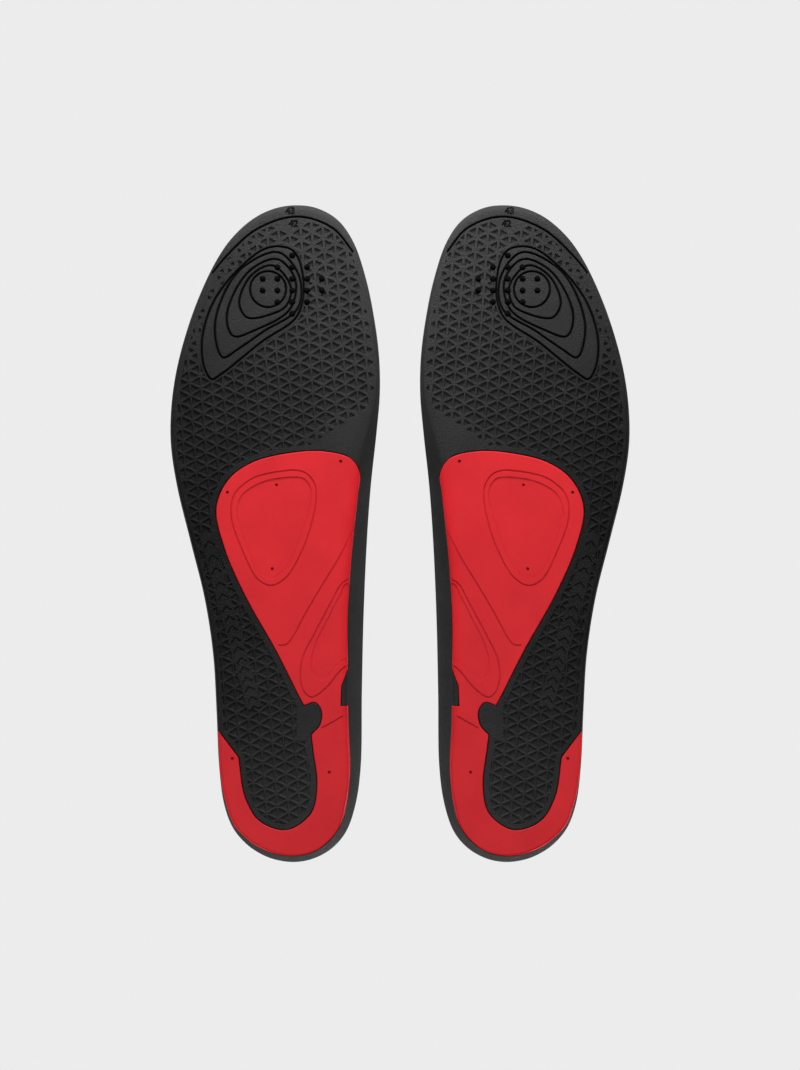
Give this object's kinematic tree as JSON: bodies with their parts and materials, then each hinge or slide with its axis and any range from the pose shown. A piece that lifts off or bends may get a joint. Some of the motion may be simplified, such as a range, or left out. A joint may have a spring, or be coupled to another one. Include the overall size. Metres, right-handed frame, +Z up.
{
  "type": "cushioned insole pair",
  "caption": "Pair of cushioned footwear insoles: foam footbed with heel cup and raised arch, inlaid arch and heel stabiliser, cushions and textile top cover.",
  "frame": {"origin": "on the surface that the undersides lie on, midway between the two insoles and midway along their length", "axes": "+Y to the toes, +Z up out of the top covers, the right foot's insole on +X and the left foot's on -X"},
  "size_m": [0.1952, 0.28, 0.0258],
  "materials": {
    "footbed_foam": "matte moulded foam skin with a fine grain",
    "stabiliser_red": "matte dense moulded foam, lightly grained",
    "cushion_foam": "soft matte open-cell foam",
    "cover_textile": "fine knitted textile"
  },
  "bodies": {
    "root": {"right_footbed": "footbed_foam", "left_footbed": "footbed_foam", "right_arch_stabiliser": "stabiliser_red", "left_arch_stabiliser": "stabiliser_red", "right_heel_cushion": "cushion_foam", "left_heel_cushion": "cushion_foam", "right_forefoot_cushion": "cushion_foam", "left_forefoot_cushion": "cushion_foam", "right_top_cover": "cover_textile", "left_top_cover": "cover_textile"}
  },
  "joints": []
}
